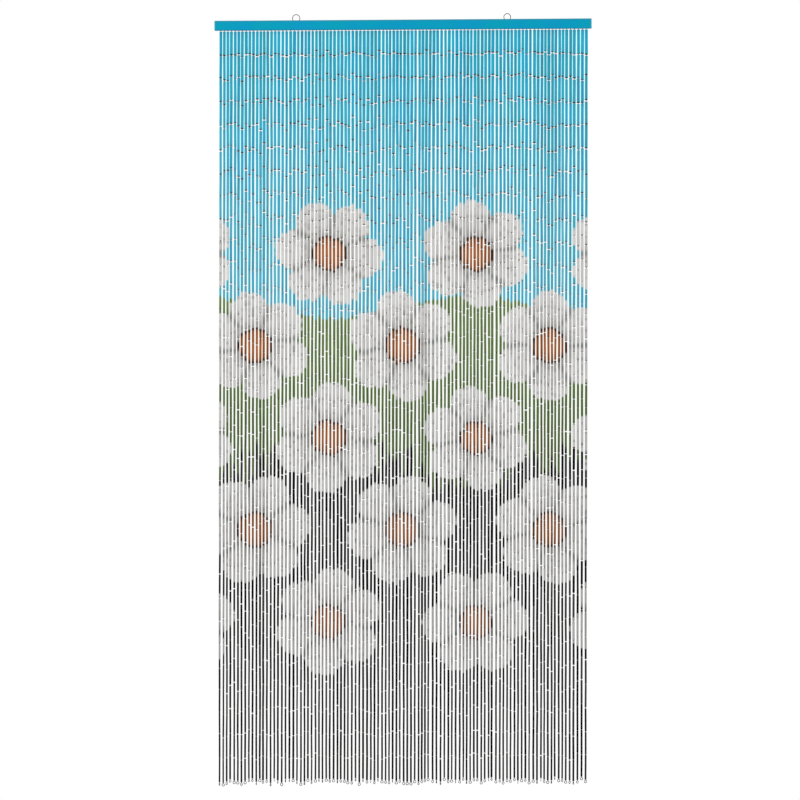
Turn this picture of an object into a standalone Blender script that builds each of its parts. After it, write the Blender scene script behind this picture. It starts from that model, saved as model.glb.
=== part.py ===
"""Bamboo bead door curtain on its header rail.

A flat wooden rail hangs by two bent wire eyes. A narrow strip lies in a groove along the rail's underside and
carries a hundred strands of slim bamboo tubes. Each strand hangs by a thin hook and ends in a wire ring.

Metres. The origin is the middle of the rail's top edge, X runs along the rail to the right as seen from the
front, the front faces -Y, and Z points up.
"""

import math
import random

import bmesh
import bpy
from mathutils import Matrix, Vector

# Header rail: it hangs a little higher at its right end, where the slat is also a little taller
RAIL_LENGTH = 1.000
RAIL_HEIGHT = 0.026
RAIL_DEPTH = 0.014
RAIL_ARRIS = 0.0007
RAIL_TILT = math.radians(0.43)
RAIL_TAPER = 0.0006

# Groove along the rail's underside, and the strip that lies in it
GAP = 0.0003
GROOVE_LENGTH = 0.9870
GROOVE_WIDTH = 0.0054
GROOVE_HEIGHT = 0.0050
STRIP_HEIGHT = 0.0042

# Wire eyes: where each stands on the rail, its half width, its height over the rail and how pointed it is
EYE_WIRE = 0.0018
EYE_LEG_DEPTH = 0.0100
EYE_LEG_CLEAR = 0.0011
EYE_WIDEST = 0.32
EYE_STEPS = 16
EYE_SIDES = 8
EYES = (
    {"name": "hanging_eye_left", "x": -0.2832, "half_width": 0.0098, "height": 0.0164, "peak": 0.0},
    {"name": "hanging_eye_right", "x": 0.2765, "half_width": 0.0090, "height": 0.0162, "peak": 0.0011},
)

# Strands: an even row of tubes on wire, 32 tubes to a strand, slimmer towards the foot
STRANDS = 100
FIELD_WIDTH = 0.9690
TUBES = 32
TUBE_PITCH = 0.06214
TUBE_GAP = 0.0024
TOP_WIDTH_LEAST = 0.0055
TOP_WIDTH_MOST = 0.0065
THINNING = 0.19
HOOK_DROP = 0.0036
HOOK_WIDTH = 0.0018
SHOULDER = 0.0008

# How strands stand out of the even row: each alone, in slow waves along the row, and at its bends
SEED = 100
BENDS = {"upper": 6, "lower": 19}
OWN_SHIFT = 0.0005
BEND_SHIFT = 0.00035
DEPTH_SHIFT = 0.0009
ROW_WAVE = 0.0015
BEND_WAVE = 0.0005
LENGTH_SPREAD = 0.0062

# Strands that leave a wide gap or lean on their neighbour, in millimetres to the right of their place
ODD_STRANDS = (
    {"strand": 0, "root": 0.7, "upper": 0.2, "lower": 0.2, "foot": 0.7},
    {"strand": 1, "root": 0.1, "upper": -0.2, "lower": 0.5, "foot": 0.7},
    {"strand": 55, "root": -0.4, "upper": -0.7, "lower": -1.1, "foot": -1.2},
    {"strand": 56, "root": -0.7, "upper": -2.6, "lower": -2.7, "foot": -2.3},
    {"strand": 57, "root": 0.2, "upper": -2.9, "lower": -3.0, "foot": -2.7},
    {"strand": 58, "root": 0.1, "upper": -1.6, "lower": -1.2, "foot": -0.6},
    {"strand": 74, "root": -0.3, "upper": -0.7, "lower": -1.3, "foot": -1.6},
    {"strand": 97, "root": 0.6, "upper": 0.6, "lower": 0.6, "foot": 0.6},
    {"strand": 98, "root": 1.9, "upper": 2.0, "lower": 1.6, "foot": 1.9},
    {"strand": 99, "root": 1.6, "upper": 2.2, "lower": 2.2, "foot": 2.7},
)
IN_PLACE = {"root": 0.0, "upper": 0.0, "lower": 0.0, "foot": 0.0}

# Foot rings: the wire's middle line, its three-sided section, and how far it reaches into the last tube
RING_RADIUS = 0.0033
RING_STRETCH = 1.55
RING_SECTION = 0.0007
RING_SUNK = 0.0017
RING_CLEAR = 0.0006


def rail_underside(x):
    """Height of the tilted rail's underside at x."""
    return x * math.tan(RAIL_TILT) - RAIL_HEIGHT / math.cos(RAIL_TILT)


def strip_underside(x):
    """Height of the hanging strip's underside at x."""
    return rail_underside(x) + (GROOVE_HEIGHT - GAP - STRIP_HEIGHT) / math.cos(RAIL_TILT)


def wave(place, phase):
    """A slow wave along the row of strands, from -1 to 1."""
    return 0.6 * math.sin(0.30 * place + phase) + 0.4 * math.sin(0.57 * place + 2.3 * phase)


def strand_line(index, rng):
    """One strand's centre line from the top of its first tube to the foot of its last, and its widths there."""
    even = FIELD_WIDTH * (index / (STRANDS - 1) - 0.5)
    odd = next((row for row in ODD_STRANDS if row["strand"] == index), IN_PLACE)
    own = rng.uniform(-OWN_SHIFT, OWN_SHIFT)
    width = rng.uniform(TOP_WIDTH_LEAST, TOP_WIDTH_MOST)
    longer = rng.uniform(-LENGTH_SPREAD, LENGTH_SPREAD)
    length = TUBES * TUBE_PITCH - TUBE_GAP + longer
    top = rail_underside(even) - HOOK_DROP
    stations = [(0.0, "root")] + [(joint / TUBES, where) for where, joint in BENDS.items()] + [(1.0, "foot")]
    points = []
    for step, (share, where) in enumerate(stations):
        x = even + own + odd[where] / 1000 + ROW_WAVE * wave(index, 0.9)
        y = 0.0
        if step:
            x += BEND_WAVE * wave(index, 1.7 + step) + rng.uniform(-BEND_SHIFT, BEND_SHIFT)
            y = rng.uniform(-DEPTH_SHIFT, DEPTH_SHIFT)
        points.append(Vector((x, y, top - share * length)))
    widths = [width * (1 - THINNING * share) for share, where in stations]
    return {"points": points, "widths": widths}


def foot_reach(strand):
    """How far a strand's foot reaches to each side, over its last tube and its turned ring."""
    ring = RING_RADIUS * abs(math.cos(strand["turn"])) + RING_SECTION
    return max(ring, strand["widths"][-1] / 2)


def hang_plan():
    """Every strand's line and widths, and how its ring is turned: at random, but clear of the ring before it."""
    rng = random.Random(SEED)
    plan = [strand_line(index, rng) for index in range(STRANDS)]
    for index, strand in enumerate(plan):
        strand["turn"] = rng.uniform(0, math.pi)
        if not index:
            continue
        before = plan[index - 1]
        room = strand["points"][-1].x - before["points"][-1].x - RING_CLEAR
        while foot_reach(strand) + foot_reach(before) > room:
            strand["turn"] = rng.uniform(0, math.pi)
    return plan


def material(name, colour, roughness, metallic=0.0):
    """A Principled BSDF of one colour."""
    made = bpy.data.materials.new(name)
    made.use_nodes = True
    shader = made.node_tree.nodes["Principled BSDF"]
    shader.inputs["Base Color"].default_value = (*colour, 1.0)
    shader.inputs["Roughness"].default_value = roughness
    shader.inputs["Metallic"].default_value = metallic
    return made


def adopt(obj, collection):
    """Moves an object into one collection."""
    for old in list(obj.users_collection):
        old.objects.unlink(obj)
    collection.objects.link(obj)
    return obj


def box(name, size, centre, collection):
    """A box with its scale applied, so that bevels keep their width."""
    bpy.ops.mesh.primitive_cube_add(size=1.0)
    obj = adopt(bpy.context.object, collection)
    obj.name = name
    obj.data.transform(Matrix.Diagonal((*size, 1.0)))
    obj.location = centre
    return obj


def hide_cutter(obj):
    """Marks an object as a tool for a Boolean."""
    obj.hide_render = True
    obj.display_type = "WIRE"


def boolean(obj, other, operation):
    """Adds an exact Boolean with another object."""
    step = obj.modifiers.new(other.name, "BOOLEAN")
    step.operation = operation
    step.solver = "EXACT"
    step.object = other


def wire_mesh(name, splines, sides, collection):
    """Wires as one mesh of closed tubes: each spline is its points and the wire's radius at each."""
    curve = bpy.data.curves.new(name + "_path", "CURVE")
    curve.dimensions = "3D"
    curve.bevel_depth = splines[0][1][0]
    curve.bevel_resolution = (sides - 4) // 2
    curve.use_fill_caps = True
    for points, radii in splines:
        spline = curve.splines.new("POLY")
        spline.points.add(len(points) - 1)
        for target, point, radius in zip(spline.points, points, radii):
            target.co = (*point, 1.0)
            target.radius = radius / curve.bevel_depth
    drawn = bpy.data.objects.new(name + "_path", curve)
    collection.objects.link(drawn)
    evaluated = drawn.evaluated_get(bpy.context.evaluated_depsgraph_get())
    mesh = bpy.data.meshes.new_from_object(evaluated)
    bm = bmesh.new()
    bm.from_mesh(mesh)
    bmesh.ops.remove_doubles(bm, verts=bm.verts, dist=0.00001)
    bmesh.ops.recalc_face_normals(bm, faces=bm.faces)
    bm.to_mesh(mesh)
    bm.free()
    made = bpy.data.objects.new(name, mesh)
    made.matrix_world = drawn.matrix_world
    collection.objects.link(made)
    bpy.data.objects.remove(drawn)
    return made


def eye_path(eye):
    """Up one leg from inside the rail, round the loop and down the other leg, in the rail's own frame."""
    ground = eye["x"] * RAIL_TAPER
    crown = eye["height"] - EYE_WIRE / 2
    middle = EYE_LEG_CLEAR + (crown - EYE_LEG_CLEAR) * EYE_WIDEST
    rise = crown - middle
    start = -math.asin((middle - EYE_LEG_CLEAR) / rise)
    loop = []
    for step in range(EYE_STEPS + 1):
        angle = start + (math.pi - 2 * start) * step / EYE_STEPS
        across = math.cos(angle)
        drawn_in = eye["peak"] * min(1.0, abs(across) / 0.6)
        up = middle + (rise - drawn_in) * math.sin(angle)
        loop.append(Vector((eye["x"] + eye["half_width"] * across, 0.0, ground + up)))
    legs = [Vector((end.x, 0.0, ground - EYE_LEG_DEPTH)) for end in (loop[0], loop[-1])]
    return [legs[0]] + loop + [legs[1]]


def leg_hole(end, name, cutters):
    """A cutter for the blind hole that takes one leg of an eye."""
    flat_radius = EYE_WIRE / 2 + GAP
    bpy.ops.mesh.primitive_cylinder_add(
        vertices=EYE_SIDES,
        radius=flat_radius / math.cos(math.pi / EYE_SIDES),
        depth=2 * (EYE_LEG_DEPTH + GAP),
        location=(end.x, 0.0, end.z + EYE_LEG_DEPTH),
    )
    hole = adopt(bpy.context.object, cutters)
    hole.name = name
    return hole


def make_rail(frame, parts, cutters, paint):
    """The header rail, with a groove underneath and a pair of holes for each eye's legs."""
    rail = box("header_rail", (RAIL_LENGTH, RAIL_DEPTH, RAIL_HEIGHT), (0, 0, -RAIL_HEIGHT / 2), parts)
    for vertex in rail.data.vertices:
        if vertex.co.z > 0:
            vertex.co.z += vertex.co.x * RAIL_TAPER
    arris = rail.modifiers.new("arris", "BEVEL")
    arris.width = RAIL_ARRIS
    arris.segments = 1
    groove_size = (GROOVE_LENGTH, GROOVE_WIDTH, 2 * GROOVE_HEIGHT)
    tools = [box("groove_cutter", groove_size, (0, 0, -RAIL_HEIGHT), cutters)]
    for eye in EYES:
        path = eye_path(eye)
        tools.append(leg_hole(path[0], eye["name"] + "_right_hole", cutters))
        tools.append(leg_hole(path[-1], eye["name"] + "_left_hole", cutters))
    for tool in tools:
        tool.parent = frame
        hide_cutter(tool)
        boolean(rail, tool, "DIFFERENCE")
    rail.parent = frame
    rail.data.materials.append(paint)


def make_eyes(frame, parts, steel):
    """The two bent wire eyes."""
    for eye in EYES:
        path = eye_path(eye)
        wire = wire_mesh(eye["name"], [(path, [EYE_WIRE / 2] * len(path))], EYE_SIDES, parts)
        wire.data.shade_smooth()
        wire.parent = frame
        wire.data.materials.append(steel)


def strand_spline(strand):
    """A strand as points and radii: its hook from inside the strip, its shoulder, bends and foot."""
    head = strand["points"][0]
    hook_top = Vector((head.x, 0.0, strip_underside(head.x) + STRIP_HEIGHT * 0.4))
    shoulder = head - Vector((0.0, 0.0, SHOULDER))
    hook_radius = HOOK_WIDTH / 2
    radii = [hook_radius, hook_radius] + [width / 2 for width in strand["widths"]]
    return [hook_top, head, shoulder] + strand["points"][1:], radii


def make_rings(plan, cutters):
    """An oval wire ring for the foot of every strand, as one mesh of separate rings."""
    bpy.ops.mesh.primitive_torus_add(
        major_segments=6,
        minor_segments=3,
        major_radius=RING_RADIUS,
        minor_radius=RING_SECTION,
    )
    pattern = adopt(bpy.context.object, cutters)
    corner_up = Matrix.Rotation(math.pi / 6, 4, "Z")
    oval = Matrix.Diagonal((1.0, RING_STRETCH, 1.0, 1.0))
    upright = Matrix.Rotation(math.pi / 2, 4, "X")
    drop = Vector((0.0, 0.0, RING_RADIUS * RING_STRETCH - RING_SUNK))
    bm = bmesh.new()
    for strand in plan:
        place = Matrix.Translation(strand["points"][-1] - drop)
        turn = Matrix.Rotation(strand["turn"], 4, "Z")
        before = len(bm.verts)
        bm.from_mesh(pattern.data)
        bm.verts.ensure_lookup_table()
        bmesh.ops.transform(bm, matrix=place @ turn @ upright @ oval @ corner_up, verts=bm.verts[before:])
    mesh = bpy.data.meshes.new("foot_rings")
    bm.to_mesh(mesh)
    bm.free()
    bpy.data.objects.remove(pattern)
    rings = bpy.data.objects.new("foot_rings", mesh)
    cutters.objects.link(rings)
    return rings


def make_strands(frame, parts, cutters, bamboo):
    """The hanging strip with every strand and foot ring fused to it."""
    plan = hang_plan()
    strip_size = (GROOVE_LENGTH - 2 * GAP, GROOVE_WIDTH - 2 * GAP, STRIP_HEIGHT)
    middle = -RAIL_HEIGHT + GROOVE_HEIGHT - GAP - STRIP_HEIGHT / 2
    strip = box("bamboo_strands", strip_size, (0, 0, middle), parts)
    strip.parent = frame
    strip.data.materials.append(bamboo)
    strands = wire_mesh("strand_lines", [strand_spline(strand) for strand in plan], 4, cutters)
    for added in (strands, make_rings(plan, cutters)):
        hide_cutter(added)
        boolean(strip, added, "UNION")


def main():
    """Builds the curtain."""
    for old in list(bpy.data.objects):
        bpy.data.objects.remove(old)
    parts = bpy.data.collections.new("bamboo_door_curtain")
    cutters = bpy.data.collections.new("cutters")
    for group in (parts, cutters):
        bpy.context.scene.collection.children.link(group)
    frame = bpy.data.objects.new("rail_frame", None)
    frame.rotation_euler = (0.0, -RAIL_TILT, 0.0)
    parts.objects.link(frame)
    paint = material("rail_paint", (0.010, 0.342, 0.540), 0.45)
    steel = material("steel_wire", (0.45, 0.45, 0.45), 0.35, 1.0)
    bamboo = material("painted_bamboo", (0.30, 0.50, 0.58), 0.5)
    make_rail(frame, parts, cutters, paint)
    make_eyes(frame, parts, steel)
    make_strands(frame, parts, cutters, bamboo)


main()
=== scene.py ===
"""The bamboo door curtain's looks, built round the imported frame.

Every strand follows the line that the frame's own strand follows, as 32 painted bamboo tubes on wire with two
linked wire eyes at each joint. The painted design is a plain repeat of round-petalled rosettes.
Metres, Z up, the front faces -Y, and the origin is the middle of the rail's top edge.
"""

import itertools
import math
import random

import bpy
import numpy as np
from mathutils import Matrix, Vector


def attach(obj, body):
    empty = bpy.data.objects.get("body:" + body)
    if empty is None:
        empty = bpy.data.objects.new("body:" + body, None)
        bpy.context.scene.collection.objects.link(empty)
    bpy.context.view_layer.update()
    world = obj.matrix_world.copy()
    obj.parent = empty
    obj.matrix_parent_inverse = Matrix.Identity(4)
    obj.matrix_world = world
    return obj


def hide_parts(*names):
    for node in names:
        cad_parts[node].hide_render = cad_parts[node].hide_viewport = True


# Header rail and eyes, as in the frame
RAIL_WIDTH = 1.0
RAIL_HEIGHT = 0.026
RAIL_TILT = math.radians(0.43)
RAIL_TAPER = 0.0006
GAP = 0.0003
GROOVE_LENGTH = 0.9870
GROOVE_WIDTH = 0.0054
GROOVE_HEIGHT = 0.0050
STRIP_HEIGHT = 0.0042
EYE_WIRE = 0.0018
EYE_LEG_DEPTH = 0.0100
EYE_LEG_CLEAR = 0.0011
EYE_WIDEST = 0.32
EYE_PEAK_WIDTH = 0.6
EYES = (
    {"name": "hanging_eye_left", "x": -0.2832, "half_width": 0.0098, "height": 0.0164, "peak": 0.0},
    {"name": "hanging_eye_right", "x": 0.2765, "half_width": 0.0090, "height": 0.0162, "peak": 0.0011},
)
EYE_STEPS = 40
EYE_SIDES = 14

# Strands, as in the frame. The odd ones hang out of place by so many millimetres.
STRANDS = 100
FIELD_WIDTH = 0.9690
TUBES = 32
TUBE_PITCH = 0.06214
TUBE_GAP = 0.0024
TOP_WIDTH_LEAST = 0.0055
TOP_WIDTH_MOST = 0.0065
THINNING = 0.19
HOOK_DROP = 0.0036
SEED = 100
BENDS = {"upper": 6, "lower": 19}
OWN_SHIFT = 0.0005
BEND_SHIFT = 0.00035
DEPTH_SHIFT = 0.0009
ROW_WAVE = 0.0015
ROW_PHASE = 0.9
BEND_WAVE = 0.0005
BEND_PHASE = 1.7
WAVES = (
    {"share": 0.6, "pace": 0.30, "phases": 1.0},
    {"share": 0.4, "pace": 0.57, "phases": 2.3},
)
LENGTH_SPREAD = 0.0062
ODD_STRANDS = (
    {"strand": 0, "root": 0.7, "upper": 0.2, "lower": 0.2, "foot": 0.7},
    {"strand": 1, "root": 0.1, "upper": -0.2, "lower": 0.5, "foot": 0.7},
    {"strand": 55, "root": -0.4, "upper": -0.7, "lower": -1.1, "foot": -1.2},
    {"strand": 56, "root": -0.7, "upper": -2.6, "lower": -2.7, "foot": -2.3},
    {"strand": 57, "root": 0.2, "upper": -2.9, "lower": -3.0, "foot": -2.7},
    {"strand": 58, "root": 0.1, "upper": -1.6, "lower": -1.2, "foot": -0.6},
    {"strand": 74, "root": -0.3, "upper": -0.7, "lower": -1.3, "foot": -1.6},
    {"strand": 97, "root": 0.6, "upper": 0.6, "lower": 0.6, "foot": 0.6},
    {"strand": 98, "root": 1.9, "upper": 2.0, "lower": 1.6, "foot": 1.9},
    {"strand": 99, "root": 1.6, "upper": 2.2, "lower": 2.2, "foot": 2.7},
)
IN_PLACE = {"root": 0.0, "upper": 0.0, "lower": 0.0, "foot": 0.0}
RING_RADIUS = 0.0033
RING_SECTION = 0.0007
RING_CLEAR = 0.0006

# Tubes: how uneven they are, and the shape of their open ends
LOOKS_SEED = 7
LENGTH_JITTER = 0.0038
JOINT_MOST = 0.026
MADE_UP = {"joint": (25, 28, 30, 32), "share": (0.0, 0.3, 0.75, 1.0)}
JOINT_SWAY = 0.0004
FULLNESS = {"share": (0.0, 0.2, 1.0), "times": (1.47, 1.31, 1.01)}
STRAND_WIDTH_JITTER = 0.05
TUBE_WIDTH_JITTER = 0.05
TUBE_CLEAR = 0.0006
TUBE_SIDES = 10
END_CHAMFER = 0.0003
BORE_SHARE = 0.42
BORE_DEPTH = 0.0020
TOP_LIFT = 0.0009

# Joints: two linked wire eyes, the upper one partly inside its tube and mostly flat to the front
LINK_RADIUS = 0.00130
LINK_WIRE = 0.00070
LINK_SUNK = 0.0004
LINK_TURN = 0.7
LINK_LEAST = 0.55
LINK_STEPS = 8
LINK_SIDES = 3
ROOM_LEAST = 0.0011
ROOM_MOST = 0.0034
NECK_REACH = 0.0012

# Foot rings as seen: round, and hung a little below the last tube
FOOT_RADIUS = 0.0033
FOOT_WIRE = 0.00085
FOOT_DROP = 0.0052
FOOT_STEPS = 16
FOOT_SIDES = 6

# How strands are grouped into pieces, and where each tube lies on its piece's map
STRANDS_TO_A_PIECE = 10
STRANDS_TO_A_LINK_PIECE = 50
COLUMNS_TO_A_STRAND = 4
CELL_SIZE = (0.92, 0.98)
CELL_CORNER = (0.04, 0.01)

# A tube's cell on the map: the heights of its eight rings of points, and the discs where its two bores end
MAP_RINGS = (0.075, 0.105, 0.135, 0.160, 0.840, 0.865, 0.895, 0.925)
MAP_DISCS = ({"ring": 0, "order": -1, "height": 0.040}, {"ring": 7, "order": 1, "height": 0.960})
DISC_ACROSS = 0.3
DISC_UP = 0.025
BARE_BANDS = (0, 1, 5, 6, 7)
SMOOTH_BAND = 3

# Painted design: two grids of rosettes that interlock, over three zones. Each petal is a round lobe.
ROSETTE_ACROSS = 0.39
ROSETTE_DOWN = 0.488
ROSETTE_RADIUS = 0.143
ROSETTE_SPREAD = 0.005
ROSETTE_TURN = 40.0
FIRST_ROSETTE_ROW = -0.62
ROSETTE_GRIDS = (
    {"x": ROSETTE_ACROSS / 2, "z": FIRST_ROSETTE_ROW, "rows": 3, "seed": 1.0},
    {"x": 0.0, "z": FIRST_ROSETTE_ROW - ROSETTE_DOWN / 2, "rows": 2, "seed": 2.0},
)
PETALS = 6
LOBE_OUT = 0.62
LOBE_RADIUS = 0.38
LOBE_ROUGH = 0.10
LOBE_EDGE = 0.015
DESIGN_SHIFT = 0.0030
DESIGN_SHIFT_MOST = 2.2

# Zones' edges: how high they lie, how sharp they are, and how far a slow wave and each strand move them
SKY_FOOT = -0.762
SKY_FOOT_HALF = 0.004
GREEN_FOOT = -1.165
GREEN_FOOT_HALF = 0.010
EDGE_WAVE = 0.030
EDGE_PACE = 8.5
EDGE_RAGGED = 0.05
SKY_RAGGED = 0.2
TUFT_WAVE = -1.2
TUFT_RAGGED = 2.2

# Plain colours, as sRGB numbers from 0 to 255
SRGB = {
    "sky": (48, 157, 184),
    "field": (110, 136, 78),
    "field_patch": (70, 88, 52),
    "dark": (4, 4, 5),
    "petal": (190, 188, 185),
    "heart": (158, 90, 50),
    "bamboo": (150, 120, 78),
    "bamboo_grain": (98, 74, 46),
    "rail": (0, 145, 171),
    "bright_steel": (58, 58, 58),
    "bright_steel_grain": (36, 36, 36),
    "dark_steel": (44, 43, 42),
    "dark_steel_grain": (24, 23, 22),
}

# Tints that are laid over them. Each goes by one value, such as a height, a noise or a tube's own draw. It
# sets in where that value is at the span's first number and has its whole strength from the second number on.
# The side tints are painted highlights: each tube's left and right sides are painted paler and brighter than
# its front.
SIDE_HIGHLIGHT_SPAN = (0.55, 0.83)
TINTS = {
    "sky_low": {"srgb": (98, 162, 182), "span": (-0.02, -0.75), "strength": 1.0},
    "sky_teal": {"srgb": (56, 148, 164), "span": (0.62, 0.80), "strength": 0.60},
    "sky_blue": {"srgb": (40, 148, 190), "span": (0.38, 0.20), "strength": 0.55},
    "sky_side_highlight": {"srgb": (16, 230, 250), "span": SIDE_HIGHLIGHT_SPAN, "strength": 1.0},
    "field_low": {"srgb": (48, 60, 38), "span": (-0.80, -1.12), "strength": 0.35},
    "field_side_highlight": {"srgb": (170, 204, 132), "span": SIDE_HIGHLIGHT_SPAN, "strength": 0.7},
    "dark_wash": {"srgb": (48, 56, 40), "span": (0.52, 0.66), "strength": 0.35},
    "dark_faded": {"srgb": (74, 74, 73), "span": (0.70, 0.98), "strength": 1.0},
    "petal_tip": {"srgb": (203, 202, 200), "span": (0.45, 0.95), "strength": 1.0},
    "petal_notch": {"srgb": (112, 116, 110), "span": (0.72, 1.0), "strength": 0.8},
    "petal_fleck": {"srgb": (112, 114, 110), "span": (0.56, 0.68), "strength": 0.45},
    "petal_root": {"srgb": (116, 114, 108), "span": (0.54, 0.32), "strength": 0.55},
    "petal_band": {"srgb": (148, 147, 144), "span": (0.05, 0.0), "strength": 0.35},
    "heart_out": {"srgb": (126, 68, 38), "span": (0.04, 0.28), "strength": 1.0},
    "heart_side_highlight": {"srgb": (255, 206, 140), "span": SIDE_HIGHLIGHT_SPAN, "strength": 0.7},
    "heart_rim": {"srgb": (62, 36, 26), "span": (0.26, 0.32), "strength": 1.0},
    "rail_patch": {"srgb": (2, 140, 178), "span": (0.38, 0.62), "strength": 1.0},
    "rail_grain": {"srgb": (14, 120, 148), "span": (0.55, 0.75), "strength": 0.30},
    # Painted shade: the rail is darker along its top and bottom edges.
    "rail_top_shade": {"srgb": (44, 128, 146), "span": (0.0050, 0.0020), "strength": 0.55},
    "rail_foot_shade": {"srgb": (0, 106, 146), "span": (0.0032, 0.0012), "strength": 0.3},
    "rail_end": {"srgb": (84, 150, 170), "span": (0.4955, RAIL_WIDTH / 2), "strength": 0.6},
}
NOTCH_OUT = (0.26, 0.46)
BAND_OUT = 0.70
HEART_OUT = (0.34, 0.32)

# Paint's brightness: its least, how much more the strand's draw, the tube's draw and the fibres can add, and
# how much of it is lost down the curtain
VALUE_LEAST = 0.62
VALUE_BY_STRAND = 0.14
VALUE_BY_TUBE = 0.14
VALUE_BY_FIBRES = 0.24
DIMMED = {"span": (-0.60, -1.80), "by": 0.40}

# Darkening at the tubes' feet: how high it reaches, how strong it is, and how it fades down the curtain
FOOT_DARK_HEIGHT = 0.0028
FOOT_DARK_FULL = 0.7
FOOT_DARK_LEAST = 0.20
FOOT_DARK_MORE = 0.75
FOOT_DARK_SPAN = (0.15, 0.50)
FOOT_DARK_FADES = {"span": (-0.40, -0.80), "by": 0.60}

# How a tube's and its strand's own draws are mixed into further ones
FOOT_DARK_DRAW = 13.0
MIXED_BY_TUBE = 0.45
MIXED_BY_STRAND = 5.7

# Noises: how fine each one is, on which plane of its own it lies, and how it is drawn out lengthwise
EDGE_NOISE = 60.0
FIELD_NOISE = 26.0
WASH_NOISE = 9.0
WASH_PLANE = 3.0
FLECK_NOISE = 110.0
FLECK_PLANE = 5.0
FLECK_LONG = 0.6
FIBRE_NOISE = 900.0
FIBRE_LONG = 0.02
BAMBOO_NOISE = 700.0
STEEL_NOISE = 300.0
RAIL_NOISE = 420.0
RAIL_LONG = 0.05
PATCH_NOISE = 9.0

# Finishes: the paint's roughness, how much of it follows the grain, and the grain's relief
BUMP_DISTANCE = 0.0003
TUBE_FINISH = {"rough": 0.48, "rougher": 0.25, "bump": 0.15, "specular": 0.05}
RAIL_FINISH = {"rough": 0.38, "rougher": 0.2, "bump": 0.12, "specular": 0.04}
BAMBOO_ROUGH = 0.75
STEEL_ROUGH = 0.42

# Camera, from the pixels that the rail and the strands cover in the photograph
PIXEL = 0.002652
PICTURE = 800
ORIGIN_PIXEL = (402.40, 19.8)
LENS = 200.0
SENSOR = 36.0
ROLL = math.radians(-0.090)
CLIP_END = 200.0

# Floor: it ends close behind the curtain, so that the photograph's plain white stands behind every strand
FLOOR_HEIGHT = -2.15
FLOOR_SIZE = 8.0
FLOOR_BACK = 0.5
FLOOR_PALE = 0.92
FLOOR_ROUGH = 0.9

# Soft lamp in front of the curtain and to its left, which points at its middle
LAMP_SIZE = 4.0
LAMP_ENERGY = 120.0
LAMP_PLACE = (-3.0, -6.0, 1.5)
LAMP_AIM = Vector((0, 0, -1))


def rail_underside(x):
    """Height of the tilted rail's underside at x."""
    return x * math.tan(RAIL_TILT) - RAIL_HEIGHT / math.cos(RAIL_TILT)


def wave(place, phase):
    """A slow wave along the row of strands, from -1 to 1."""
    return sum(row["share"] * math.sin(row["pace"] * place + row["phases"] * phase) for row in WAVES)


def strand_line(index, rng):
    """One strand's middle line, from its first tube's top to its last tube's foot, and its widths there."""
    even = FIELD_WIDTH * (index / (STRANDS - 1) - 0.5)
    odd = next((row for row in ODD_STRANDS if row["strand"] == index), IN_PLACE)
    own = rng.uniform(-OWN_SHIFT, OWN_SHIFT)
    width = rng.uniform(TOP_WIDTH_LEAST, TOP_WIDTH_MOST)
    longer = rng.uniform(-LENGTH_SPREAD, LENGTH_SPREAD)
    length = TUBES * TUBE_PITCH - TUBE_GAP + longer
    top = rail_underside(even) - HOOK_DROP
    stations = [(0.0, "root")] + [(joint / TUBES, where) for where, joint in BENDS.items()] + [(1.0, "foot")]
    points = []
    for step, (share, where) in enumerate(stations):
        x = even + own + odd[where] / 1000 + ROW_WAVE * wave(index, ROW_PHASE)
        y = 0.0
        if step:
            x += BEND_WAVE * wave(index, BEND_PHASE + step) + rng.uniform(-BEND_SHIFT, BEND_SHIFT)
            y = rng.uniform(-DEPTH_SHIFT, DEPTH_SHIFT)
        points.append(Vector((x, y, top - share * length)))
    widths = [width * (1 - THINNING * share) for share, where in stations]
    return {"points": points, "widths": widths, "even": even}


def foot_reach(strand):
    """How far a strand's foot reaches to each side, over its last tube and its turned ring."""
    ring = RING_RADIUS * abs(math.cos(strand["turn"])) + RING_SECTION
    return max(ring, strand["widths"][-1] / 2)


def hang_plan():
    """Every strand's line, widths and ring's turn, which is random but clear of the ring before it."""
    rng = random.Random(SEED)
    plan = [strand_line(index, rng) for index in range(STRANDS)]
    for index, strand in enumerate(plan):
        strand["turn"] = rng.uniform(0, math.pi)
        if not index:
            continue
        before = plan[index - 1]
        room = strand["points"][-1].x - before["points"][-1].x - RING_CLEAR
        while foot_reach(strand) + foot_reach(before) > room:
            strand["turn"] = rng.uniform(0, math.pi)
    return plan


def joint_drift(rng):
    """How far each tube's foot has drifted from an even spacing, as no two tubes are equally long."""
    off, offs = 0.0, []
    for tube in range(TUBES):
        off += rng.gauss(0, LENGTH_JITTER)
        if abs(off) > JOINT_MOST:
            off = math.copysign(2 * JOINT_MOST, off) - off
        offs.append(off)
    return offs


def joint_places(strand, rng):
    """The middle of each joint, near the strand's line. The last tubes make up for the drift."""
    offs = joint_drift(rng)
    heights = [point.z for point in strand["points"]][::-1]
    across = [point.x for point in strand["points"]][::-1]
    depth = [point.y for point in strand["points"]][::-1]
    top, foot = heights[-1], heights[0]
    pitch = (top - foot) / TUBES
    joints = []
    for joint in range(1, TUBES):
        made_up = float(np.interp(joint, MADE_UP["joint"], MADE_UP["share"]))
        height = top - joint * pitch + offs[joint - 1] - made_up * offs[-1]
        x = float(np.interp(height, heights, across)) + rng.uniform(-JOINT_SWAY, JOINT_SWAY)
        y = float(np.interp(height, heights, depth)) + rng.uniform(-JOINT_SWAY, JOINT_SWAY)
        joints.append(Vector((x, y, height)))
    return joints


def tube_radii(strand, rng):
    """Each tube's radius: fuller near the rail, and a little wider or thinner by strand and by tube."""
    wider = 1 + rng.uniform(-STRAND_WIDTH_JITTER, STRAND_WIDTH_JITTER)
    radii = []
    for tube in range(TUBES):
        share = (tube + 0.5) / TUBES
        fullness = float(np.interp(share, FULLNESS["share"], FULLNESS["times"]))
        radius = strand["widths"][0] / 2 * (1 - THINNING * share) * fullness * wider
        radii.append(radius * (1 + rng.uniform(-TUBE_WIDTH_JITTER, TUBE_WIDTH_JITTER)))
    return radii


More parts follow.
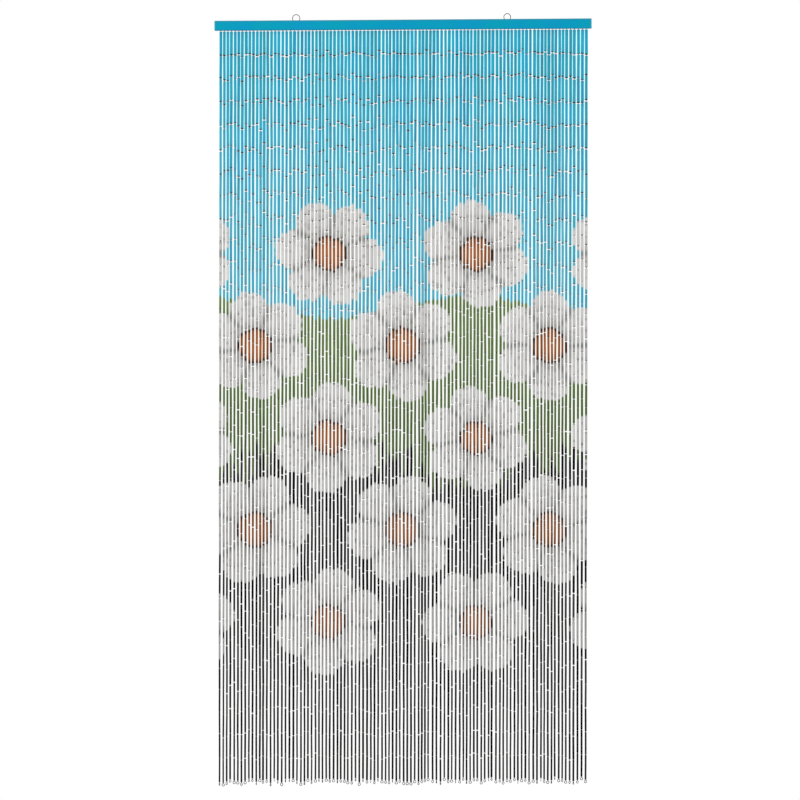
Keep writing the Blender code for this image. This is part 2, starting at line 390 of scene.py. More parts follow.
def hang_tubes(strand, rng):
    """Adds to a strand its tubes' ends and radii, its links' places, sizes and turns, and its shades."""
    joints = joint_places(strand, rng)
    opened = [rng.random() ** 2 for joint in joints]
    halves = [Vector((0, 0, (ROOM_LEAST + (ROOM_MOST - ROOM_LEAST) * share) / 2)) for share in opened]
    strand["link_sizes"] = [LINK_LEAST] + [1 - (1 - LINK_LEAST) * share for share in opened]
    first = strand["points"][0] + Vector((0, 0, TOP_LIFT))
    strand["tops"] = [first] + [joint - half for joint, half in zip(joints, halves)]
    strand["feet"] = [joint + half for joint, half in zip(joints, halves)] + [strand["points"][-1]]
    strand["links"] = [first + Vector((0, 0, HOOK_DROP - TOP_LIFT))] + strand["feet"][:-1]
    strand["radii"] = tube_radii(strand, rng)
    strand["link_turns"] = [math.pi / 2] + [rng.gauss(0, LINK_TURN) for joint in joints]
    strand["shade"] = rng.random()
    strand["tube_shades"] = [rng.random() for tube in range(TUBES)]
    shift = max(-DESIGN_SHIFT_MOST, min(DESIGN_SHIFT_MOST, rng.gauss(0, 1)))
    strand["painted_off"] = shift * DESIGN_SHIFT


def across_at(strand, tube, height):
    """Where a tube's middle line is across the curtain at a height."""
    foot, top = strand["feet"][tube], strand["tops"][tube]
    return foot.x + (top.x - foot.x) * (height - foot.z) / (top.z - foot.z)


def thin_where_close(strand, beside):
    """Thins the tubes of two neighbouring strands wherever two would come closer than TUBE_CLEAR."""
    for tube, other in itertools.product(range(TUBES), repeat=2):
        top = min(strand["tops"][tube].z, beside["tops"][other].z)
        foot = max(strand["feet"][tube].z, beside["feet"][other].z)
        if foot > top:
            continue
        rooms = [across_at(beside, other, height) - across_at(strand, tube, height) for height in (top, foot)]
        both = strand["radii"][tube] + beside["radii"][other]
        fit = min(1.0, (min(rooms) - TUBE_CLEAR) / both)
        strand["radii"][tube] *= fit
        beside["radii"][other] *= fit


def dress_plan(plan):
    """Adds the tubes and links to every strand of the plan."""
    rng = random.Random(LOOKS_SEED)
    for strand in plan:
        hang_tubes(strand, rng)
    for strand, beside in zip(plan, plan[1:]):
        thin_where_close(strand, beside)


def mesh_object(name, places, corners, totals):
    """A mesh object from its vertices, its faces' corners in a row, and how many corners each face has."""
    mesh = bpy.data.meshes.new(name)
    mesh.vertices.add(len(places))
    mesh.vertices.foreach_set("co", np.asarray(places, np.float32).ravel())
    mesh.loops.add(len(corners))
    mesh.loops.foreach_set("vertex_index", np.asarray(corners, np.int32))
    starts = np.concatenate([[0], np.cumsum(totals)[:-1]])
    mesh.polygons.add(len(totals))
    mesh.polygons.foreach_set("loop_start", starts.astype(np.int32))
    mesh.polygons.foreach_set("loop_total", np.asarray(totals, np.int32))
    mesh.update(calc_edges=True)
    made = bpy.data.objects.new(name, mesh)
    bpy.context.scene.collection.objects.link(made)
    return made


def set_map(mesh, name, places):
    """A UV map from one place for each face corner."""
    layer = mesh.uv_layers.new(name=name, do_init=False)
    layer.data.foreach_set("uv", np.asarray(places, np.float32).ravel())


def set_values(mesh, name, values):
    """A value for each vertex, for the materials to read."""
    layer = mesh.attributes.new(name, "FLOAT", "POINT")
    layer.data.foreach_set("value", np.asarray(values, np.float32))


def tube_faces():
    """One tube's face corners, each face's corner count and band, and each corner's place in its cell."""
    corners, totals, bands, places = [], [], [], []
    for band, (low, high) in enumerate(zip(MAP_RINGS, MAP_RINGS[1:])):
        for side in range(TUBE_SIDES):
            turned = (side + 1) % TUBE_SIDES
            corners += [band * TUBE_SIDES + side, band * TUBE_SIDES + turned]
            corners += [(band + 1) * TUBE_SIDES + turned, (band + 1) * TUBE_SIDES + side]
            left, right = side / TUBE_SIDES, (side + 1) / TUBE_SIDES
            places += [(left, low), (right, low), (right, high), (left, high)]
            totals.append(4)
            bands.append(band)
    for disc in MAP_DISCS:
        around = list(range(TUBE_SIDES))[:: disc["order"]]
        corners += [disc["ring"] * TUBE_SIDES + side for side in around]
        for side in around:
            turn = 2 * math.pi * side / TUBE_SIDES
            places.append((0.5 + DISC_ACROSS * math.cos(turn), disc["height"] + DISC_UP * math.sin(turn)))
        totals.append(TUBE_SIDES)
        bands.append(disc["ring"])
    return np.array(corners), np.array(totals), np.array(bands), np.array(places)


def tube_rings(foot, top, radius):
    """One tube's vertices, ring by ring: out of the foot's bore, round its end, up the side, into the top."""
    span = (top - foot).length
    bore = radius * BORE_SHARE
    profile = (
        (bore, BORE_DEPTH),
        (bore, 0.0),
        (radius - END_CHAMFER, 0.0),
        (radius, END_CHAMFER),
        (radius, span - END_CHAMFER),
        (radius - END_CHAMFER, span),
        (bore, span),
        (bore, span - BORE_DEPTH),
    )
    turn = np.arange(TUBE_SIDES) * 2 * np.pi / TUBE_SIDES - np.pi / 2
    circle = np.stack([np.cos(turn), np.sin(turn), np.zeros(TUBE_SIDES)], 1)
    base, axis = np.array(foot), np.array(top - foot) / span
    return np.concatenate([base + axis * along + circle * out for out, along in profile])


def make_tubes(plan, first, paint, raw):
    """The tubes of ten strands as one piece, with their cells on the map, places in the design and shades."""
    corners, totals, bands, places = tube_faces()
    strands = plan[first : first + STRANDS_TO_A_PIECE]
    tubes = [(strand, tube) for strand in strands for tube in range(TUBES)]
    points = TUBE_SIDES * len(MAP_RINGS)
    rings = []
    for strand, tube in tubes:
        rings.append(tube_rings(strand["feet"][tube], strand["tops"][tube], strand["radii"][tube]))
    found = np.concatenate(rings)
    made = mesh_object(
        f"bamboo_tubes_{first // STRANDS_TO_A_PIECE + 1:02d}",
        found,
        np.concatenate([corners + count * points for count in range(len(tubes))]),
        np.tile(totals, len(tubes)),
    )
    mesh = made.data

    columns = STRANDS_TO_A_PIECE * COLUMNS_TO_A_STRAND
    rows = TUBES // COLUMNS_TO_A_STRAND
    cell = places * CELL_SIZE + CELL_CORNER
    maps = []
    for count in range(len(tubes)):
        column, row = divmod(count, rows)
        maps.append((cell + (column, rows - 1 - row)) / (columns, rows))
    set_map(mesh, "OFBake", np.concatenate(maps))

    offs = np.repeat([strand["painted_off"] for strand, tube in tubes], points)
    feet = np.repeat([strand["feet"][tube].z for strand, tube in tubes], points)
    set_values(mesh, "design_x", np.repeat([strand["even"] for strand, tube in tubes], points))
    set_values(mesh, "design_z", found[:, 2] + offs)
    set_values(mesh, "strand_shade", np.repeat([strand["shade"] for strand, tube in tubes], points))
    set_values(mesh, "tube_shade", np.repeat([strand["tube_shades"][tube] for strand, tube in tubes], points))
    set_values(mesh, "above_foot", found[:, 2] - feet)

    mesh.materials.append(paint)
    mesh.materials.append(raw)
    band = np.tile(bands, len(tubes))
    mesh.polygons.foreach_set("material_index", np.isin(band, BARE_BANDS).astype(np.int32))
    mesh.polygons.foreach_set("use_smooth", band == SMOOTH_BAND)
    mesh.update()
    return made


def wire_ring(centre, radius, wire, turn, steps, sides):
    """A wire ring that hangs upright, turned about Z, as its vertices."""
    around = np.arange(steps) * 2 * np.pi / steps + np.pi / 2
    section = np.arange(sides) * 2 * np.pi / sides
    out = radius + wire * np.cos(section)[None, :]
    flat = np.stack(
        [
            out * np.cos(around)[:, None],
            np.broadcast_to(wire * np.sin(section), (steps, sides)),
            out * np.sin(around)[:, None],
        ],
        -1,
    ).reshape(-1, 3)
    turned = flat.copy()
    turned[:, 0] = flat[:, 0] * math.cos(turn) - flat[:, 1] * math.sin(turn)
    turned[:, 1] = flat[:, 0] * math.sin(turn) + flat[:, 1] * math.cos(turn)
    return turned + np.array(centre)


def ring_faces(steps, sides):
    """A wire ring's four-cornered faces."""
    faces = []
    for step in range(steps):
        here, onward = step * sides, (step + 1) % steps * sides
        for side in range(sides):
            turned = (side + 1) % sides
            faces.append((here + side, onward + side, onward + turned, here + turned))
    return np.array(faces)


def neck(low, high, wire):
    """A short three-sided length of wire between two points, as its vertices."""
    turn = np.arange(LINK_SIDES) * 2 * np.pi / LINK_SIDES
    circle = np.stack([wire * np.cos(turn), wire * np.sin(turn), np.zeros(LINK_SIDES)], 1)
    return np.concatenate([np.array(low) + circle, np.array(high) + circle])


def neck_faces():
    """A short wire's side faces."""
    faces = []
    for side in range(LINK_SIDES):
        turned = (side + 1) % LINK_SIDES
        faces.append((side, turned, LINK_SIDES + turned, LINK_SIDES + side))
    return np.array(faces)


def join_wires(name, parts, steel):
    """Wire parts, each its vertices and its four-cornered faces, as one piece."""
    corners, count = [], 0
    for places, faces in parts:
        corners.append(faces.ravel() + count)
        count += len(places)
    corners = np.concatenate(corners)
    points = np.concatenate([places for places, faces in parts])
    made = mesh_object(name, points, corners, np.full(len(corners) // 4, 4))
    made.data.shade_smooth()
    made.data.materials.append(steel)
    return made


def make_links(plan, first, steel):
    """Every joint's two linked wire eyes, for half of the strands, as one piece."""
    ring, short = ring_faces(LINK_STEPS, LINK_SIDES), neck_faces()
    parts = []
    for strand in plan[first : first + STRANDS_TO_A_LINK_PIECE]:
        for joint in range(TUBES):
            start, end = strand["links"][joint], strand["tops"][joint]
            size = strand["link_sizes"][joint]
            radius, wire = LINK_RADIUS * size, LINK_WIRE * size
            upper = start - Vector((0, 0, LINK_SUNK))
            lower = upper - Vector((0, 0, 2 * (radius - wire)))
            turn = strand["link_turns"][joint]
            crosswise = turn + math.pi / 2
            inside = Vector((end.x, end.y, min(end.z, lower.z - radius) - NECK_REACH))
            parts.append((wire_ring(upper, radius, wire, turn, LINK_STEPS, LINK_SIDES), ring))
            parts.append((wire_ring(lower, radius, wire, crosswise, LINK_STEPS, LINK_SIDES), ring))
            parts.append((neck(inside, lower, wire), short))
            parts.append((neck(upper, start + Vector((0, 0, NECK_REACH)), wire), short))
    return join_wires(f"wire_links_{first // STRANDS_TO_A_LINK_PIECE + 1}", parts, steel)


def make_foot_rings(plan, steel):
    """The round ring under every strand, as one piece."""
    ring, short = ring_faces(FOOT_STEPS, FOOT_SIDES), neck_faces()
    parts = []
    for strand in plan:
        foot = strand["points"][-1]
        centre = foot - Vector((0, 0, FOOT_DROP))
        crown = centre + Vector((0, 0, FOOT_RADIUS))
        inside = foot + Vector((0, 0, NECK_REACH))
        round_ring = wire_ring(centre, FOOT_RADIUS, FOOT_WIRE, strand["turn"], FOOT_STEPS, FOOT_SIDES)
        parts.append((round_ring, ring))
        parts.append((neck(crown, inside, FOOT_WIRE), short))
    return join_wires("foot_rings", parts, steel)


def eye_path(eye):
    """Up one leg from inside the rail, round the loop and down the other leg, in the rail's own frame."""
    ground = eye["x"] * RAIL_TAPER
    crown = eye["height"] - EYE_WIRE / 2
    middle = EYE_LEG_CLEAR + (crown - EYE_LEG_CLEAR) * EYE_WIDEST
    loop_height = crown - middle
    start = -math.asin((middle - EYE_LEG_CLEAR) / loop_height)
    loop = []
    for step in range(EYE_STEPS + 1):
        angle = start + (math.pi - 2 * start) * step / EYE_STEPS
        across = math.cos(angle)
        drawn_in = eye["peak"] * min(1.0, abs(across) / EYE_PEAK_WIDTH)
        up = middle + (loop_height - drawn_in) * math.sin(angle)
        loop.append(Vector((eye["x"] + eye["half_width"] * across, 0.0, ground + up)))
    legs = [Vector((end.x, 0.0, ground - EYE_LEG_DEPTH)) for end in (loop[0], loop[-1])]
    return [legs[0]] + loop + [legs[1]]


def make_eye(eye, steel):
    """One bent wire eye, with rounder wire than the frame's."""
    name = eye["name"] + "_wire"
    curve = bpy.data.curves.new(name, "CURVE")
    curve.dimensions = "3D"
    curve.bevel_depth = EYE_WIRE / 2
    curve.bevel_resolution = (EYE_SIDES - 4) // 2
    curve.use_fill_caps = True
    spline = curve.splines.new("POLY")
    path = eye_path(eye)
    spline.points.add(len(path) - 1)
    for target, point in zip(spline.points, path):
        target.co = (*point, 1.0)
    drawn = bpy.data.objects.new(name, curve)
    bpy.context.scene.collection.objects.link(drawn)
    drawn.rotation_euler = (0.0, -RAIL_TILT, 0.0)
    bpy.context.view_layer.update()
    mesh = bpy.data.meshes.new_from_object(drawn.evaluated_get(bpy.context.evaluated_depsgraph_get()))
    mesh.transform(drawn.matrix_world)
    bpy.data.objects.remove(drawn)
    made = bpy.data.objects.new(name, mesh)
    bpy.context.scene.collection.objects.link(made)
    mesh.materials.clear()
    mesh.materials.append(steel)
    mesh.shade_smooth()
    return made


def make_strip(raw):
    """The wooden strip in the rail's groove, which the strands hang from."""
    bpy.ops.mesh.primitive_cube_add(size=1.0)
    made = bpy.context.object
    made.name = "hanging_strip"
    size = (GROOVE_LENGTH - 2 * GAP, GROOVE_WIDTH - 2 * GAP, STRIP_HEIGHT)
    middle = -RAIL_HEIGHT + GROOVE_HEIGHT - GAP - STRIP_HEIGHT / 2
    for vertex in made.data.vertices:
        vertex.co = [vertex.co[axis] * size[axis] for axis in range(3)]
        vertex.co.z += middle
    made.rotation_euler = (0.0, -RAIL_TILT, 0.0)
    made.data.materials.append(raw)
    return made


def plug(tree, socket, value):
    """Links a socket to another, or sets its value."""
    if isinstance(value, bpy.types.NodeSocket):
        tree.links.new(value, socket)
    else:
        socket.default_value = value


def maths(tree, operation, *values):
    """One Math node."""
    node = tree.nodes.new("ShaderNodeMath")
    node.operation = operation
    for socket, value in zip(node.inputs, values):
        plug(tree, socket, value)
    return node.outputs[0]


def add(tree, first, second):
    """The sum of two values."""
    return maths(tree, "ADD", first, second)


def subtract(tree, first, second):
    """The first value less the second."""
    return maths(tree, "SUBTRACT", first, second)


def multiply(tree, first, second):
    """The product of two values."""
    return maths(tree, "MULTIPLY", first, second)


def scaled(tree, value, factor, base):
    """A value times a factor, on top of a base."""
    return maths(tree, "MULTIPLY_ADD", value, factor, base)


def rise(tree, value, low, high):
    """A smooth step from 0 at low to 1 at high."""
    node = tree.nodes.new("ShaderNodeMapRange")
    node.interpolation_type = "SMOOTHSTEP"
    plug(tree, node.inputs["Value"], value)
    plug(tree, node.inputs["From Min"], low)
    plug(tree, node.inputs["From Max"], high)
    return node.outputs["Result"]


def kept(tree, share, most):
    """1, less a share of the most that can go."""
    return subtract(tree, 1.0, multiply(tree, share, most))


def blend(tree, share, first, second):
    """Mixes two colours."""
    node = tree.nodes.new("ShaderNodeMix")
    node.data_type = "RGBA"
    plug(tree, node.inputs[0], share)
    plug(tree, node.inputs[6], first)
    plug(tree, node.inputs[7], second)
    return node.outputs[2]


def linear(srgb):
    """A colour given as sRGB numbers from 0 to 255, as the shader wants it."""
    given = [part / 255 for part in srgb]
    return (*[part / 12.92 if part <= 0.04045 else ((part + 0.055) / 1.055) ** 2.4 for part in given], 1.0)


def colour(name):
    """One of the plain colours, as the shader wants it."""
    return linear(SRGB[name])


def tint(tree, ground, name, value, within=1.0):
    """Lays a tint over a ground colour, by the value that it goes by and only as far as within allows."""
    row = TINTS[name]
    share = multiply(tree, rise(tree, value, *row["span"]), row["strength"])
    return blend(tree, multiply(tree, share, within), ground, linear(row["srgb"]))


def vector(tree, x, y, z):
    """A vector of three values."""
    node = tree.nodes.new("ShaderNodeCombineXYZ")
    for socket, value in zip(node.inputs, (x, y, z)):
        plug(tree, socket, value)
    return node.outputs[0]


def parts_of(tree, given):
    """A vector's three values."""
    node = tree.nodes.new("ShaderNodeSeparateXYZ")
    plug(tree, node.inputs[0], given)
    return node.outputs


def noise(tree, place, scale, detail=2.0, roughness=0.5):
    """Soft noise from 0 to 1."""
    node = tree.nodes.new("ShaderNodeTexNoise")
    plug(tree, node.inputs["Vector"], place)
    node.inputs["Scale"].default_value = scale
    node.inputs["Detail"].default_value = detail
    node.inputs["Roughness"].default_value = roughness
    return node.outputs["Fac"]


def attribute(tree, name):
    """A value that the piece's vertices carry."""
    node = tree.nodes.new("ShaderNodeAttribute")
    node.attribute_name = name
    return node.outputs["Fac"]


def object_place(tree):
    """Where the surface is on its piece."""
    return tree.nodes.new("ShaderNodeTexCoord").outputs["Object"]


def side_highlight_mask(tree):
    """1 where the surface faces straight to the left or right, and 0 on a tube's front and back: where the
    painted side highlight lies.
    """
    normal = tree.nodes.new("ShaderNodeTexCoord").outputs["Normal"]
    return maths(tree, "ABSOLUTE", parts_of(tree, normal)[0])


def new_material(name):
    """A material with a Principled BSDF."""
    made = bpy.data.materials.new(name)
    made.use_nodes = True
    return made, made.node_tree, made.node_tree.nodes["Principled BSDF"]


def finish_paint(tree, shader, grain, finish):
    """Paint's gloss and its low relief, both after the grain under it."""
    bump = tree.nodes.new("ShaderNodeBump")
    bump.inputs["Strength"].default_value = finish["bump"]
    bump.inputs["Distance"].default_value = BUMP_DISTANCE
    plug(tree, bump.inputs["Height"], grain)
    plug(tree, shader.inputs["Normal"], bump.outputs[0])
    plug(tree, shader.inputs["Roughness"], scaled(tree, grain, finish["rougher"], finish["rough"]))
    shader.inputs["Specular IOR Level"].default_value = finish["specular"]


def rosette_grid(tree, x, z, grid):
    """How far out a place is in its rosette, 1 at a petal's tip, and how far aside, 1 in the notch."""
    right = subtract(tree, x, grid["x"])
    down = subtract(tree, grid["z"], z)
    column = maths(tree, "ROUND", maths(tree, "DIVIDE", right, ROSETTE_ACROSS))
    row = maths(tree, "ROUND", maths(tree, "DIVIDE", down, ROSETTE_DOWN))
    row = maths(tree, "MINIMUM", maths(tree, "MAXIMUM", row, 0.0), grid["rows"] - 1.0)
    dx = subtract(tree, right, multiply(tree, column, ROSETTE_ACROSS))
    dz = subtract(tree, multiply(tree, row, ROSETTE_DOWN), down)
    draw = tree.nodes.new("ShaderNodeTexWhiteNoise")
    plug(tree, draw.inputs["Vector"], vector(tree, column, row, grid["seed"]))
    own = draw.outputs["Value"]
    size = scaled(tree, own, 2 * ROSETTE_SPREAD, ROSETTE_RADIUS - ROSETTE_SPREAD)
    square = add(tree, multiply(tree, dx, dx), multiply(tree, dz, dz))
    out = maths(tree, "DIVIDE", maths(tree, "SQRT", square), size)
    angle = add(tree, maths(tree, "ARCTAN2", dz, dx), multiply(tree, own, ROSETTE_TURN))
    turn = maths(tree, "FRACT", multiply(tree, angle, PETALS / (2 * math.pi)))
    aside = multiply(tree, maths(tree, "ABSOLUTE", subtract(tree, turn, 0.5)), 2.0)
    return out, aside


def petal_outline(tree, aside, uneven):
    """How far out a petal's edge lies, along the far side of its round lobe."""
    swing = multiply(tree, aside, math.pi / PETALS)
    across = multiply(tree, maths(tree, "SINE", swing), LOBE_OUT)
    along = multiply(tree, maths(tree, "COSINE", swing), LOBE_OUT)
    chord = subtract(tree, LOBE_RADIUS**2, multiply(tree, across, across))
    return add(tree, add(tree, along, maths(tree, "SQRT", chord)), uneven)


def petal_paint(tree, out, aside, flecks):
    """Petals: pale, flecked with grey, and darker at the root, in the notches and along one ring."""
    from_band = maths(tree, "ABSOLUTE", subtract(tree, out, BAND_OUT))
    petal = tint(tree, colour("petal"), "petal_tip", out)
    petal = tint(tree, petal, "petal_notch", aside, rise(tree, out, *NOTCH_OUT))
    petal = tint(tree, petal, "petal_fleck", flecks)
    petal = tint(tree, petal, "petal_root", out)
    return tint(tree, petal, "petal_band", from_band)


def heart_paint(tree, out, highlit_sides):
    """Hearts: orange, darker outwards, with a brown rim, and a painted highlight on each tube's sides."""
    heart = tint(tree, colour("heart"), "heart_out", out)
    heart = tint(tree, heart, "heart_side_highlight", highlit_sides)
    return tint(tree, heart, "heart_rim", out)


def paint_rosettes(tree, ground, grid, x, z, uneven, flecks, highlit_sides):
    """Lays one grid of rosettes over a ground colour."""
    out, aside = rosette_grid(tree, x, z, grid)
    inside = rise(tree, subtract(tree, petal_outline(tree, aside, uneven), out), -LOBE_EDGE, LOBE_EDGE)
    petal = petal_paint(tree, out, aside, flecks)
    rosette = blend(tree, rise(tree, out, *HEART_OUT), petal, heart_paint(tree, out, highlit_sides))
    return blend(tree, inside, ground, rosette)


def sky_paint(tree, z, mixed, highlit_sides):
    """Turquoise, paler further down, with some tubes more teal and some more blue, and a painted highlight on
    each tube's sides.
    """
    sky = tint(tree, colour("sky"), "sky_low", z)
    sky = tint(tree, sky, "sky_teal", mixed)
    sky = tint(tree, sky, "sky_blue", mixed)
    return tint(tree, sky, "sky_side_highlight", highlit_sides)


def field_paint(tree, x, z, highlit_sides):
    """Green in soft patches, darker at its foot, with a painted highlight on each tube's sides."""
    patches = noise(tree, vector(tree, x, 0.0, z), FIELD_NOISE)
    field = blend(tree, patches, colour("field"), colour("field_patch"))
    field = tint(tree, field, "field_low", z)
    return tint(tree, field, "field_side_highlight", highlit_sides)


def dark_paint(tree, x, z, mixed):
    """Near black, with a thin green wash in places and some tubes faded."""
    wash = noise(tree, vector(tree, x, WASH_PLANE, z), WASH_NOISE)
    dark = tint(tree, colour("dark"), "dark_wash", wash)
    return tint(tree, dark, "dark_faded", mixed)


def zones_paint(tree, x, z, own, mixed, highlit_sides):
    """The three zones of colour. The edges between them wave and are ragged, as each strand has its own."""
    ragged = multiply(tree, subtract(tree, own, 0.5), EDGE_RAGGED)
    sway = multiply(tree, maths(tree, "SINE", multiply(tree, x, EDGE_PACE)), EDGE_WAVE)
    over_field = subtract(tree, add(tree, z, multiply(tree, ragged, SKY_RAGGED)), sway)
    below_sky = rise(tree, over_field, SKY_FOOT + SKY_FOOT_HALF, SKY_FOOT - SKY_FOOT_HALF)
    ground = blend(tree, below_sky, sky_paint(tree, z, mixed, highlit_sides), field_paint(tree, x, z, highlit_sides))
    tufts = add(tree, multiply(tree, sway, TUFT_WAVE), multiply(tree, ragged, TUFT_RAGGED))
    over_dark = subtract(tree, z, tufts)
    below_field = rise(tree, over_dark, GREEN_FOOT + GREEN_FOOT_HALF, GREEN_FOOT - GREEN_FOOT_HALF)
    return blend(tree, below_field, ground, dark_paint(tree, x, z, mixed))


def tube_value(tree, z, own, tube, fibres):
    """How bright the paint is: by strand, tube and fibre, dimmed lower down and darker at a tube's foot."""
    value = add(tree, multiply(tree, own, VALUE_BY_STRAND), multiply(tree, tube, VALUE_BY_TUBE))
    value = add(tree, value, multiply(tree, fibres, VALUE_BY_FIBRES))
    value = add(tree, value, VALUE_LEAST)
    # Each tube is darker just above its foot, by an amount of its own.
    draw = maths(tree, "FRACT", multiply(tree, tube, FOOT_DARK_DRAW))
    foot_dark = scaled(tree, rise(tree, draw, *FOOT_DARK_SPAN), FOOT_DARK_MORE, FOOT_DARK_LEAST)
    foot_dark = multiply(tree, foot_dark, kept(tree, rise(tree, z, *FOOT_DARK_FADES["span"]), FOOT_DARK_FADES["by"]))
    near_foot = rise(tree, attribute(tree, "above_foot"), FOOT_DARK_HEIGHT, FOOT_DARK_HEIGHT * FOOT_DARK_FULL)
    dimmed = kept(tree, rise(tree, z, *DIMMED["span"]), DIMMED["by"])
    return multiply(tree, value, multiply(tree, kept(tree, near_foot, foot_dark), dimmed))


def painted_bamboo():
    """Tubes: three zones of colour under the rosettes, each tube its own shade, with fibres along it and a
    painted highlight along its sides.
    """
    made, tree, shader = new_material("painted_bamboo")
    x, z = attribute(tree, "design_x"), attribute(tree, "design_z")
    own, tube = attribute(tree, "strand_shade"), attribute(tree, "tube_shade")
    # Painted highlight: the share of each tube's left and right sides, which are painted paler and brighter.
    highlit_sides = side_highlight_mask(tree)
    mixed = maths(tree, "FRACT", scaled(tree, tube, MIXED_BY_TUBE, multiply(tree, own, MIXED_BY_STRAND)))
    ground = zones_paint(tree, x, z, own, mixed, highlit_sides)
    rough = noise(tree, vector(tree, x, 0.0, z), EDGE_NOISE)
    uneven = multiply(tree, subtract(tree, rough, 0.5), LOBE_ROUGH)
    flecks = noise(tree, vector(tree, x, FLECK_PLANE, multiply(tree, z, FLECK_LONG)), FLECK_NOISE, detail=1.0)
    for grid in ROSETTE_GRIDS:
        ground = paint_rosettes(tree, ground, grid, x, z, uneven, flecks, highlit_sides)
    place = parts_of(tree, object_place(tree))
    streak = vector(tree, place[0], place[1], multiply(tree, place[2], FIBRE_LONG))
    fibres = noise(tree, streak, FIBRE_NOISE, detail=3.0, roughness=0.6)
    shade = tree.nodes.new("ShaderNodeHueSaturation")
    plug(tree, shade.inputs["Value"], tube_value(tree, z, own, tube, fibres))
    plug(tree, shade.inputs["Color"], ground)
    plug(tree, shader.inputs["Base Color"], shade.outputs[0])
    finish_paint(tree, shader, fibres, TUBE_FINISH)
    return made


def raw_bamboo():
    """Cut ends of the tubes and the strip: unpainted, with a little grain."""
    made, tree, shader = new_material("raw_bamboo")
    grain = noise(tree, object_place(tree), BAMBOO_NOISE)
    plug(tree, shader.inputs["Base Color"], blend(tree, grain, colour("bamboo"), colour("bamboo_grain")))
    shader.inputs["Roughness"].default_value = BAMBOO_ROUGH
    return made


def rail_paint():
    """Turquoise paint over fine lengthwise grain, with painted shade along the top and bottom edges, and worn
    at the ends.
    """
    made, tree, shader = new_material("rail_paint_turquoise")
    place = object_place(tree)
    x, y, z = parts_of(tree, place)
    streak = vector(tree, multiply(tree, x, RAIL_LONG), y, z)
    grain = noise(tree, streak, RAIL_NOISE, detail=4.0, roughness=0.6)
    tilted = multiply(tree, x, math.tan(RAIL_TILT))
    below_top = subtract(tree, scaled(tree, x, RAIL_TAPER, tilted), z)
    above_underside = add(tree, subtract(tree, z, tilted), RAIL_HEIGHT)
    body = tint(tree, colour("rail"), "rail_patch", noise(tree, place, PATCH_NOISE))
    body = tint(tree, body, "rail_grain", grain)
    # Painted shade along the rail's top and bottom edges.
    body = tint(tree, body, "rail_top_shade", below_top)
    body = tint(tree, body, "rail_foot_shade", above_underside)
    body = tint(tree, body, "rail_end", maths(tree, "ABSOLUTE", x))
    plug(tree, shader.inputs["Base Color"], body)
    finish_paint(tree, shader, grain, RAIL_FINISH)
    return made


def wire_steel(name, bright, dull):
    """Dull steel wire."""
    made, tree, shader = new_material(name)
    grain = noise(tree, object_place(tree), STEEL_NOISE)
    plug(tree, shader.inputs["Base Color"], blend(tree, grain, bright, dull))
    shader.inputs["Metallic"].default_value = 1.0
    shader.inputs["Roughness"].default_value = STEEL_ROUGH
    return made


def make_room():
    """A white world, which gives soft light from all round."""
    world = bpy.data.worlds.new("soft_white_room")
    world.use_nodes = True
    background = world.node_tree.nodes["Background"]
    background.inputs["Color"].default_value = (1.0, 1.0, 1.0, 1.0)
    background.inputs["Strength"].default_value = 1.0
    bpy.context.scene.world = world


def make_floor():
    """A plain pale floor."""
    bpy.ops.mesh.primitive_plane_add(size=1.0, location=(0.0, FLOOR_BACK - FLOOR_SIZE / 2, FLOOR_HEIGHT))
    floor = bpy.context.object
    floor.name = "floor"
    floor.scale = (FLOOR_SIZE, FLOOR_SIZE, 1.0)
    made, _, shader = new_material("pale_floor")
    shader.inputs["Base Color"].default_value = (FLOOR_PALE, FLOOR_PALE, FLOOR_PALE, 1.0)
    shader.inputs["Roughness"].default_value = FLOOR_ROUGH
    floor.data.materials.append(made)


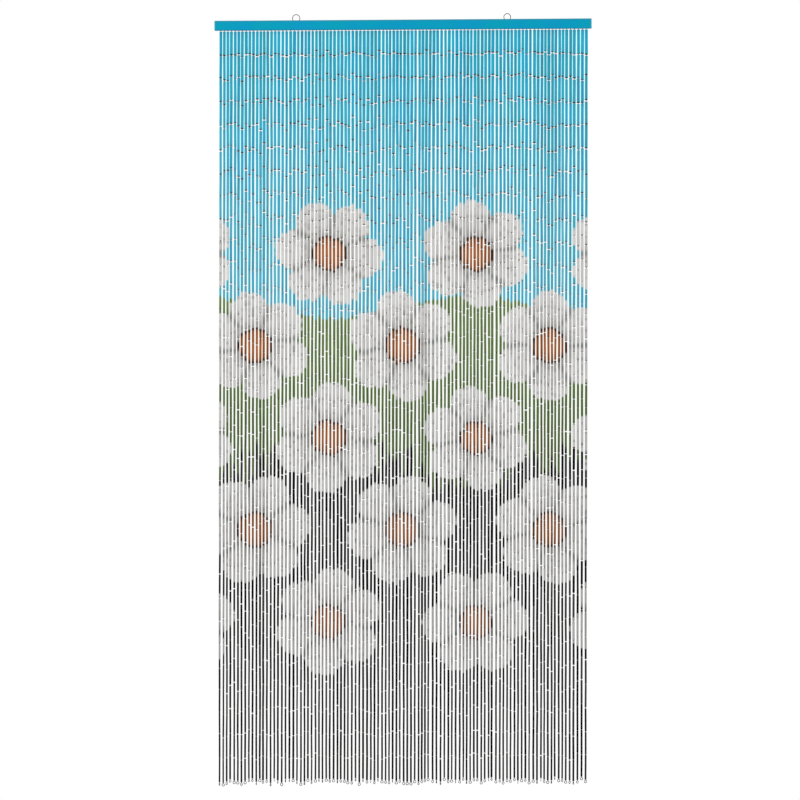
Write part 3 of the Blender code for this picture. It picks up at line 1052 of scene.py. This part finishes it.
def make_lamp():
    """A large soft lamp in front of the curtain, to its left."""
    lamp = bpy.data.lights.new("soft_key", "AREA")
    lamp.shape = "SQUARE"
    lamp.size = LAMP_SIZE
    lamp.energy = LAMP_ENERGY
    key = bpy.data.objects.new("soft_key", lamp)
    key.location = LAMP_PLACE
    key.rotation_euler = (LAMP_AIM - key.location).to_track_quat("-Z", "Y").to_euler()
    bpy.context.scene.collection.objects.link(key)


def make_camera():
    """The camera, straight in front, with the photograph's frame, and colours shown as they are."""
    data = bpy.data.cameras.new("camera")
    data.lens = LENS
    data.sensor_width = SENSOR
    data.clip_end = CLIP_END
    camera = bpy.data.objects.new("camera", data)
    middle_x = (PICTURE / 2 - ORIGIN_PIXEL[0]) * PIXEL
    middle_z = -(PICTURE / 2 - ORIGIN_PIXEL[1]) * PIXEL
    camera.location = (middle_x, -LENS * PICTURE * PIXEL / SENSOR, middle_z)
    camera.rotation_euler = (math.pi / 2, ROLL, 0.0)
    bpy.context.scene.collection.objects.link(camera)
    bpy.context.scene.camera = camera
    bpy.context.scene.view_settings.view_transform = "Standard"


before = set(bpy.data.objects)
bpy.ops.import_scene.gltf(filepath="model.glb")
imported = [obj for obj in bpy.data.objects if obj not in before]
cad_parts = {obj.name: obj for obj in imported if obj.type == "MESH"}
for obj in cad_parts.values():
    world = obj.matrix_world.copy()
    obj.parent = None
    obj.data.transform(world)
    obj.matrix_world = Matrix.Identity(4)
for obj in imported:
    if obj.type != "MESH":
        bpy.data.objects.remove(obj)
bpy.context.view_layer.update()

plan = hang_plan()
dress_plan(plan)
paint, raw = painted_bamboo(), raw_bamboo()
bright_steel = wire_steel("steel_wire", colour("bright_steel"), colour("bright_steel_grain"))
dark_steel = wire_steel("dark_steel_wire", colour("dark_steel"), colour("dark_steel_grain"))

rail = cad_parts["header_rail"]
rail.data.materials.clear()
rail.data.materials.append(rail_paint())

strand_pieces = [make_tubes(plan, first, paint, raw) for first in range(0, STRANDS, STRANDS_TO_A_PIECE)]
strand_pieces += [make_links(plan, first, dark_steel) for first in range(0, STRANDS, STRANDS_TO_A_LINK_PIECE)]
strand_pieces += [make_foot_rings(plan, bright_steel), make_strip(raw)]
for piece in strand_pieces:
    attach(piece, "root")
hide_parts("bamboo_strands")
for eye in EYES:
    wire = make_eye(eye, bright_steel)
    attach(wire, "root")
    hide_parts(eye["name"])

make_room()
make_floor()
make_lamp()
make_camera()
